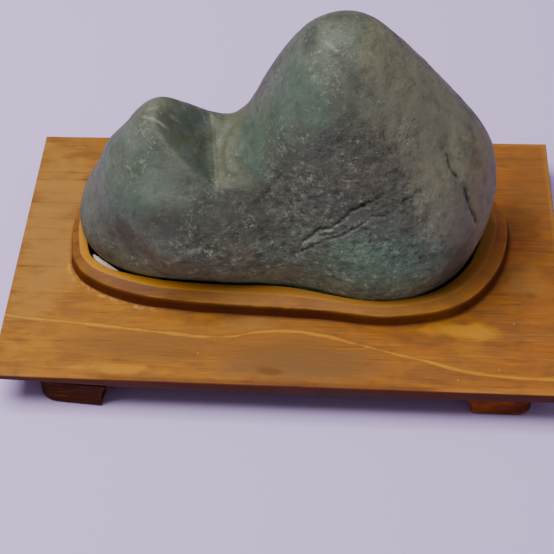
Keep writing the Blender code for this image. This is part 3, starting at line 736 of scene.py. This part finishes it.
def pine_material(look, name, light, middle, dark, specular):
    """Hand-carved pine under a wiped amber stain, satin, with raised growth lines."""
    material, tree, shader = new_material(name)
    place = in_millimetres(tree)
    across, along, _ = add(tree, "SeparateXYZ", (place,)).node.outputs
    line = front_line(tree, across)
    wander = mottle(tree, place, 40.0, (2.0, 1.0, 1.0), 2.0, shift=4.0)
    uneven = mottle(tree, place, 14.0, (30.0, 1.0, 1.0), 2.0, shift=37.0)
    phase = ring_phase(tree, look, along, line, wander, uneven)
    # Stain: clouds of 20 to 50 mm wiped along the grain, yellower to the left.
    cloud = mottle(tree, place, 22.0, (1.7, 1.0, 1.0), 5.0, 0.6, 0.6, 7.0)
    blotch = mottle(tree, place, 9.0, (1.6, 1.0, 1.0), 4.0, 0.55, 0.4, 29.0)
    side = add(tree, "Math", (across, 80.0), operation="SUBTRACT")
    side = add(tree, "Math", (cloud, 160.0, side), operation="MULTIPLY_ADD")
    tint = laid(tree, light, dark, side, -110.0, 100.0)
    tint = laid(tree, tint, middle, blotch, 0.36, 0.68, 0.75)
    tint = laid(tree, tint, light, cloud, 0.56, 0.72, 0.5)
    tint = laid(tree, tint, dark, cloud, 0.44, 0.30, 0.5)
    fibre = mottle(tree, place, 1.1, (16.0, 1.0, 1.0), 4.0, 0.65, shift=13.0)
    tint = laid(tree, tint, look.dark, fibre, 0.54, 0.70, 0.34)
    tint = laid(tree, tint, look.latewood, fibre, 0.46, 0.30, 0.34)
    # Each ring darkens slowly, and a few end in a thin line, plainest at the board's left end.
    tint = laid(tree, tint, look.dark, phase, 0.3, 0.93, 0.12)
    shown = add(tree, "MapRange", (across, -80.0, -100.0, 0.15, 1.0), **SOFT)
    patchy = add(tree, "MapRange", (blotch, 0.30, 0.50, 0.4, 1.0), **SOFT)
    shown = add(tree, "Math", (shown, patchy), operation="MULTIPLY")
    thin = add(tree, "Math", (thin_lines(tree, along, wander), shown), operation="MULTIPLY")
    tint = add(tree, "Mix", (thin, tint, look.dark), **COLOURS)
    # The pale front line swells and thins, and breaks between fibres.
    distance = add(tree, "Math", (along, line), operation="SUBTRACT")
    distance = add(tree, "Math", (distance,), operation="ABSOLUTE")
    swell = add(tree, "MapRange", (blotch, 0.38, 0.58, 0.4, 1.35), **SOFT)
    distance = add(tree, "Math", (distance, swell), operation="DIVIDE")
    unbroken = add(tree, "MapRange", (fibre, 0.3, 0.5, 0.5, 1.0), **SOFT)
    pale = add(tree, "MapRange", (distance, 1.1, 0.3, 0.0, 0.85), **SOFT)
    pale = add(tree, "Math", (pale, unbroken), operation="MULTIPLY")
    tint = add(tree, "Mix", (pale, tint, look.latewood), **COLOURS)
    tint = patched(tree, place, tint, look, STAINS, blotch, 2.2, 1.20, 0.40)
    # Paler freshly cut facets; painted shade, with some real stain, against the lip and on the
    # board's edge; bare wood, painted light and painted highlights on the lip and the arris.
    tint = masked(tree, tint, look.latewood, "fresh", 0.65)
    # On the board this mark is mostly painted shade; on the feet it is their stain.
    tint = masked(tree, tint, look.dark, "stain")
    # Bare wood at the chips, and painted light and painted highlights on the lip and the arris.
    tint = masked(tree, tint, look.bare, "bare")
    # Specks of dust, one to each square of about 12 mm.
    cells = add(tree, "TexVoronoi", {"Vector": place, "Scale": 1.0 / 12.0}, "Distance")
    tint = laid(tree, tint, look.bare, cells, 0.040, 0.025, 0.7)
    relief = add(tree, "Math", (pale, 0.5), operation="MULTIPLY")
    relief = add(tree, "Math", (fibre, 0.7, relief), operation="MULTIPLY_ADD")
    surface(tree, shader, tint, cloud, (0.46, 0.60), 1.5, specular, (0.7, 0.4 * MM, relief))
    return material


def read_round(angles, points, values):
    """Read values held at points round the seat at new plan angles."""
    offset = points[:, :2] - np.array(SEAT_CENTRE)
    held = np.degrees(np.arctan2(offset[:, 1], offset[:, 0])) % 360.0
    order = np.argsort(held)
    return np.interp(angles, held[order], values[order], period=360.0)


def solid_radius(angles, points, height):
    """Return the plan radius of the solid about the seat at one height."""
    at = points[np.abs(points[:, 2] - height) < 0.02]
    radius = np.linalg.norm(at[:, :2] - np.array(SEAT_CENTRE), axis=1)
    return even_out(read_round(angles, at, radius), WALL_SMOOTHING)


def rim_height(angles, points):
    """Return the height of the foot of the solid's upright edge."""
    low, high = RIM_HEIGHTS
    at = points[(points[:, 2] > low) & (points[:, 2] < high)
                & (np.abs(points[:, 2] - SEAT_FLOOR_Z) > 0.001)]
    return read_round(angles, at, at[:, 2])


def board_corners(points):
    """Return the board's plan corners, from the front left round to the back left."""
    low, high = points.min(axis=0), points.max(axis=0)
    ends = [np.abs(points[np.abs(points[:, 0] - end) < 2.0][:, 1]).max()
            for end in (low[0], high[0])]
    return np.array([(low[0], -ends[0]), (high[0], -ends[1]), (high[0], ends[1]),
                     (low[0], ends[0])])


def even_out(values, passes):
    """Smooth values that run round a ring."""
    for _ in range(passes):
        values = 0.5 * values + 0.25 * (np.roll(values, 1) + np.roll(values, -1))
    return values


def outline_points(angles, corners, inset):
    """Return the board's plan outline at each angle, with a point on each corner."""
    middle = corners.mean(axis=0)
    rays = np.stack([np.cos(np.radians(angles)), np.sin(np.radians(angles))], axis=1)
    start = np.array(SEAT_CENTRE)
    reach = np.full(len(angles), np.inf)
    for first, second in zip(corners, np.roll(corners, -1, axis=0)):
        side = second - first
        out = np.array([side[1], -side[0]]) / np.linalg.norm(side)
        facing = rays @ out
        room = (first - start) @ out - inset
        reach = np.where(facing > 1e-6, np.minimum(reach, room / np.maximum(facing, 1e-6)), reach)
    points = start + rays * reach[:, None]
    for corner in corners:
        pull = corner + np.sign(middle - corner) * inset
        points[np.argmin(np.linalg.norm(points - pull, axis=1))] = pull
    return points


def ring(points, heights, stain, bare=0.0, fresh=0.0):
    """Return a closed ring: its points, and how much each one is darkened, lightened and freshly
    cut.
    """
    marks = [np.broadcast_to(mark, ROUND_STEPS) for mark in (heights, stain, bare, fresh)]
    row = np.column_stack([points, *marks])
    return np.vstack([row, row[:1]])


def right_end(rays):
    """Return how far round to the board's right end each ray points, from 0 to 1."""
    return soft(rays[:, 0], 0.2, 0.9)


def lip_rings(angles, rays, around, wall, width, wobble):
    """Return the rings over the carved lip, from the seat's wall to the board's top."""
    nibble = grain(around, 1.8, 2, shift=7.0)
    patchy = soft(grain(around, 6.0, 2, shift=3.0), -0.3, 0.4)
    first, last = FRESH_CUT
    cut_afresh = soft(angles, first - 15.0, first) * soft(angles, last + 25.0, last)
    front = soft(angles, last - 5.0, last + 20.0) * soft(rays[:, 1], 0.2, -0.2)
    middle = np.exp(-((angles - PAINTED_LIGHT_GAP[0]) / PAINTED_LIGHT_GAP[1]) ** 2)
    lit_right_end = soft(rays[:, 0], 0.90, 0.97) * soft(rays[:, 1], 0.35, 0.10)
    rings = []
    for share, height in LIP_SECTION:
        # The chisel nibbled the inner rim and wandered along the foot of the outer facet.
        inner = np.exp(-(share / 0.05) ** 2)
        outer = np.exp(-((share - 0.9) / 0.06) ** 2)
        out = wall + width * share + np.abs(nibble) * NIBBLE * inner + wobble * outer
        drop = np.clip(nibble, 0.0, 1.0) * NIBBLE_DROP * inner
        # The nibbled inner rim shows bare wood at the chips and a painted highlight, and both rims
        # of the outer facet get thin painted highlights in patches.
        bare_and_highlight = inner * soft(nibble, -0.3, 0.4) * 0.75
        bare_and_highlight = bare_and_highlight + 0.30 * np.exp(-((share - 0.46) / 0.02) ** 2) * patchy
        bare_and_highlight = bare_and_highlight + 0.45 * np.exp(-((share - 0.885) / 0.012) ** 2) * patchy
        # Painted light lightens the facets at the front and the inner facet at the right end, and
        # the steep drop to the board is darkened, partly by stain that collects there and partly by
        # painted shade.
        steep = float(soft(share, 0.895, 0.93))
        facet = float(soft(share, 0.46, 0.52))
        painted_light = PAINTED_LIGHT_INNER * (1.0 - facet) + PAINTED_LIGHT_OUTER * facet * (1.0 - 0.8 * middle)
        painted_light = np.maximum(painted_light * front, PAINTED_LIGHT_RIGHT * lit_right_end * (1.0 - facet))
        # The steep drop is darkened partly by stain that collects there and partly by painted
        # shade.
        stain_and_shade = steep * (0.88 - 0.25 * right_end(rays))
        darkened = np.maximum(stain_and_shade, 0.42 * cut_afresh * facet)
        points = np.array(SEAT_CENTRE) + rays * out[:, None]
        rings.append(ring(points, BOARD_TOP + height - drop, darkened,
                          bare_and_highlight + painted_light * (1.0 - steep), cut_afresh * (1.0 - facet)))
    return rings


def top_rings(angles, foot, rim):
    """Return the rings over the board's top, from the lip's foot to the rim of the arris."""
    first, last = CHIPPED
    chipped = soft(angles, first - 8.0, first) * soft(angles, last + 5.0, last)
    rings = []
    for share in np.linspace(0.0, 1.0, FLAT_RINGS + 1)[1:-1] ** TOP_SPACING:
        points = foot + (rim - foot) * share
        reach = np.linalg.norm(points - foot, axis=1)
        flat = np.column_stack([points, np.zeros(ROUND_STEPS)])
        swell = grain(flat, 30.0, 2) * 0.10 * soft(reach, 0.0, 6.0)
        torn = soft(grain(flat, 1.7, 2, (1.6, 1.0, 1.0), 7.0), -0.1, 0.3) * chipped
        torn = torn * np.exp(-((reach - 1.6) / 1.4) ** 2)
        # A thin line of painted shade darkens the corner at the lip's foot, and torn places show
        # chipped wood.
        rings.append(ring(points, BOARD_TOP + swell - torn * 0.3 - TOP_SETTLE,
                          0.6 * np.exp(-(reach / 0.8) ** 2), torn * 0.65))
    return rings


def edge_rings(angles, corners, edge_foot, under):
    """Return the rings over the worn arris, down the upright edge and in under the board."""
    rings = []
    for inset, drop in EDGE_ROUND:
        points = outline_points(angles, corners, inset)
        # Painted shade darkens the arris as it turns down and along the middle of the front; a
        # painted highlight lightens its top, fading out towards the left end.
        arris_shade = soft(points[:, 1], -70.0, -74.0)
        for span in ARRIS_SHADE_SPANS:
            arris_shade = arris_shade * soft(points[:, 0], *span)
        arris_highlight = soft(points[:, 0], -90.0, -20.0) * (1.0 - arris_shade)
        darkened = np.maximum(float(soft(drop, 0.1, 0.6)) * 0.90, 0.45 * arris_shade)
        rings.append(ring(points, BOARD_TOP - TOP_SETTLE - drop, darkened,
                          0.30 * math.exp(-((drop - 0.1) / 0.15) ** 2) * arris_highlight))
    edge_top = BOARD_TOP - TOP_SETTLE - EDGE_ROUND[-1][1]
    # Painted shade darkens the upright edge, the underside's bevel and the underside.
    for share in EDGE_SHARES:
        height = edge_top * (1.0 - share) + edge_foot * share
        rings.append(ring(outline_points(angles, corners, 0.0), height, EDGE_SHADE))
    bevel = outline_points(angles, corners, UNDERCUT / 2.0)
    rings.append(ring(bevel, (edge_foot + under) / 2.0, WALL_SHADE))
    flat = outline_points(angles, corners, UNDERCUT)
    rings.append(ring(flat, under, WALL_SHADE))
    for share in np.linspace(0.0, 1.0, UNDER_RINGS + 1)[1:]:
        rings.append(ring(flat * (1.0 - share), under, UNDER_SHADE))
    return rings


class SCHOLARS_ROCK_OT_board(bpy.types.Operator):
    """Dress the board: carved lip with tool marks, worn arris, growth lines and wiped stain"""

    bl_idname = "scholars_rock.board"
    bl_label = "Board"

    def execute(self, context):
        look = context.scene.stand_look
        solid, _ = points_of(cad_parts["board"])
        angles = np.arange(ROUND_STEPS) * 360.0 / ROUND_STEPS
        turns = np.radians(angles)
        rays = np.stack([np.cos(turns), np.sin(turns)], axis=1)
        wall = solid_radius(angles, solid, SEAT_FLOOR_Z)
        gauge = solid_radius(angles, solid, LIP_GAUGE[0])
        wall -= SNUG * right_end(rays) * soft(rays[:, 1], 0.2, -0.2)
        width = (gauge - wall) / LIP_GAUGE[1]
        around = np.column_stack([rays * LIP_HALF, np.zeros(ROUND_STEPS)])
        wobble = grain(around, 9.0, 2) * 0.35

        start = np.array(SEAT_CENTRE)
        foot = start + rays * (wall + width * LIP_FOOT + wobble * 0.4)[:, None]
        corners = board_corners(solid)
        rim = outline_points(angles, corners, EDGE_ROUND[0][0])
        board = self.sheet("board_wood", [
            # Painted shade darkens the seat's floor and wall under the rock.
            ring(np.broadcast_to(start, (ROUND_STEPS, 2)), SEAT_FLOOR_Z, SEAT_SHADE),
            ring(start + rays * wall[:, None], SEAT_FLOOR_Z, WALL_SHADE),
            *lip_rings(angles, rays, around, wall, width, wobble),
            *top_rings(angles, foot, rim),
            *edge_rings(angles, corners, rim_height(angles, solid), solid[:, 2].min())])
        edit(board, (bpy.ops.mesh.remove_doubles, {"threshold": 0.002 * MM}),
             (bpy.ops.mesh.normals_make_consistent, {"inside": False}))
        material = pine_material(
            look, "amber_stained_pine", look.amber, look.tan, look.brown, WOOD_SPECULAR)
        finish(board, material, "board", "board")
        return {"FINISHED"}

    def sheet(self, name, rings):
        """Shape a plane of quads into a closed surface of rings."""
        bpy.ops.object.select_all(action="DESELECT")
        bpy.ops.mesh.primitive_grid_add(
            x_subdivisions=ROUND_STEPS, y_subdivisions=len(rings) - 1, size=1.0)
        piece = bpy.context.active_object
        piece.name = name
        piece.data.name = name
        rows = np.concatenate(rings)
        if len(rows) != len(piece.data.vertices):
            raise RuntimeError("the grid does not have one point for each place on the rings")
        set_points(piece, rows[:, :3])
        store(piece, stain=rows[:, 3], bare=rows[:, 4], fresh=rows[:, 5])
        return piece


class SCHOLARS_ROCK_OT_feet(bpy.types.Operator):
    """Dress the four block feet: eased edges and dark stain"""

    bl_idname = "scholars_rock.feet"
    bl_label = "Feet"

    def execute(self, context):
        look = context.scene.stand_look
        material = pine_material(
            look, "dark_stained_pine", look.foot, look.foot, look.foot_red, FOOT_SPECULAR)
        flat = {"face_threshold": math.radians(5.0), "shape_threshold": math.radians(60.0)}
        for node in sorted(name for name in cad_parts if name.startswith("foot_")):
            piece = working_copy(node, node + "_block")
            edit(piece, (bpy.ops.mesh.tris_convert_to_quads, flat))
            apply_modifier(piece, "BEVEL", width=FOOT_ARRIS * MM, segments=2,
                           limit_method="ANGLE", angle_limit=math.radians(40.0))
            clean = np.zeros(len(piece.data.vertices))
            store(piece, stain=clean + FOOT_STAIN, bare=clean, fresh=clean)
            finish(piece, material, "feet", node)
            bpy.ops.object.shade_smooth_by_angle(angle=math.radians(35.0))
        return {"FINISHED"}


class SCHOLARS_ROCK_OT_packing(bpy.types.Operator):
    """Dress the sliver of folded paper pushed in beside the rock"""

    bl_idname = "scholars_rock.packing"
    bl_label = "Packing"

    def execute(self, context):
        look = context.scene.stand_look
        piece = working_copy("packing", "packing_sliver")
        edit(piece, (bpy.ops.mesh.subdivide, {"number_cuts": 4}))
        points, _ = points_of(piece)
        # Its top edge is crumpled.
        points[:, 2] += grain(points, 2.5, 3) * 0.25 * soft(points[:, 2], 20.0, 23.0)
        set_points(piece, points)
        # Folded paper, matt, with a little of the wood's stain rubbed on in spots.
        material, tree, shader = new_material("folded_paper")
        place = in_millimetres(tree)
        spots = mottle(tree, place, 2.0, detail=4.0)
        tint = laid(tree, look.packing, look.amber, spots, 0.45, 0.7, 0.5)
        tree.links.new(tint, shader.inputs["Base Color"])
        shader.inputs["Roughness"].default_value = 0.85
        finish(piece, material, "packing", "packing")
        return {"FINISHED"}


# ---- Stage -----------------------------------------------------------------
class SCHOLARS_ROCK_OT_stage(bpy.types.Operator):
    """Set the plain floor, the soft light and the camera"""

    bl_idname = "scholars_rock.stage"
    bl_label = "Stage"

    def execute(self, context):
        look = context.scene.studio_look
        bpy.ops.object.select_all(action="DESELECT")
        bpy.ops.mesh.primitive_plane_add(size=FLOOR_SIZE, location=(0.0, 0.0, -FLOOR_DROP * MM))
        floor = bpy.context.active_object
        floor.name = "studio_floor"
        # Matt card, painted paler towards the back where more light falls.
        material, tree, shader = new_material("matt_lavender_board")
        place = in_millimetres(tree)
        away = add(tree, "SeparateXYZ", (place,), "Y")
        away = add(tree, "MapRange", (away, *FLOOR_LIGHT_FADE, 0.0, 0.8), **SOFT)
        cloud = mottle(tree, place, 300.0, detail=2.0)
        tone = add(tree, "Math", (cloud, 0.2, away), operation="MULTIPLY_ADD")
        tint = add(tree, "Mix", (tone, look.floor, look.floor_lit), **COLOURS)
        tree.links.new(tint, shader.inputs["Base Color"])
        shader.inputs["Roughness"].default_value = 0.9
        floor.data.materials.append(material)
        self.light(context, look)
        self.camera(context)
        return {"FINISHED"}

    def light(self, context, look):
        """Light the room evenly, with one soft key light."""
        world = bpy.data.worlds.new("soft_room")
        world.use_nodes = True
        back = world.node_tree.nodes["Background"]
        back.inputs["Color"].default_value = linear(ROOM_COLOUR)
        back.inputs["Strength"].default_value = look.fill
        context.scene.world = world

        key = bpy.data.lights.new("key", "AREA")
        key.energy = look.key_power
        key.size = KEY_SIZE
        key.color = linear(KEY_COLOUR)[:3]
        lamp = bpy.data.objects.new("key", key)
        context.scene.collection.objects.link(lamp)
        aim = Vector(KEY_AIM)
        spot = aim + Vector(KEY_DIRECTION).normalized() * KEY_DISTANCE
        turned = (aim - spot).to_track_quat("-Z", "Y").to_matrix().to_4x4()
        lamp.matrix_world = Matrix.Translation(spot) @ turned

    def camera(self, context):
        """Look down on the stand from the front, a little from the right."""
        lens = bpy.data.cameras.new("camera")
        lens.sensor_width = SENSOR_WIDTH
        lens.lens = CAMERA_LENS
        lens.clip_start = 0.01
        view = bpy.data.objects.new("camera", lens)
        context.scene.collection.objects.link(view)
        pitch, yaw, roll = (math.radians(a) for a in (CAMERA_PITCH, CAMERA_YAW, CAMERA_ROLL))
        level = math.cos(pitch)
        ahead = Vector((math.sin(yaw) * level, math.cos(yaw) * level, -math.sin(pitch)))
        side = Vector((math.cos(yaw), -math.sin(yaw), 0.0))
        over = side.cross(ahead)
        right = side * math.cos(roll) + over * math.sin(roll)
        up = over * math.cos(roll) - side * math.sin(roll)
        turned = Matrix((right, up, -ahead)).transposed().to_4x4()
        view.matrix_world = Matrix.Translation(CAMERA_PLACE) @ turned
        context.scene.camera = view


class SCHOLARS_ROCK_PT_panel(bpy.types.Panel):
    """Lists the pieces in the sidebar"""

    bl_idname = "SCHOLARS_ROCK_PT_panel"
    bl_label = "Scholar's rock"
    bl_space_type = "VIEW_3D"
    bl_region_type = "UI"
    bl_category = "Rock"

    def draw(self, context):
        for group in ("rock_look", "stand_look", "studio_look"):
            settings = getattr(context.scene, group)
            for name in settings.__annotations__:
                self.layout.prop(settings, name)
        for maker in MAKERS:
            self.layout.operator(maker.bl_idname)


MAKERS = (
    SCHOLARS_ROCK_OT_rock,
    SCHOLARS_ROCK_OT_board,
    SCHOLARS_ROCK_OT_feet,
    SCHOLARS_ROCK_OT_packing,
    SCHOLARS_ROCK_OT_stage,
)
GROUPS = (("rock_look", RockLook), ("stand_look", StandLook), ("studio_look", StudioLook))


def register():
    """Register the settings, the operators and the panel."""
    for name, group in GROUPS:
        bpy.utils.register_class(group)
        setattr(bpy.types.Scene, name, bpy.props.PointerProperty(type=group))
    for made in (*MAKERS, SCHOLARS_ROCK_PT_panel):
        bpy.utils.register_class(made)


def unregister():
    """Remove the panel, the operators and the settings."""
    for made in (SCHOLARS_ROCK_PT_panel, *reversed(MAKERS)):
        bpy.utils.unregister_class(made)
    for name, group in reversed(GROUPS):
        delattr(bpy.types.Scene, name)
        bpy.utils.unregister_class(group)


def main():
    """Make every piece."""
    register()
    bpy.ops.scholars_rock.rock()
    bpy.ops.scholars_rock.board()
    bpy.ops.scholars_rock.feet()
    bpy.ops.scholars_rock.packing()
    bpy.ops.scholars_rock.stage()


if __name__ == "__main__":
    main()
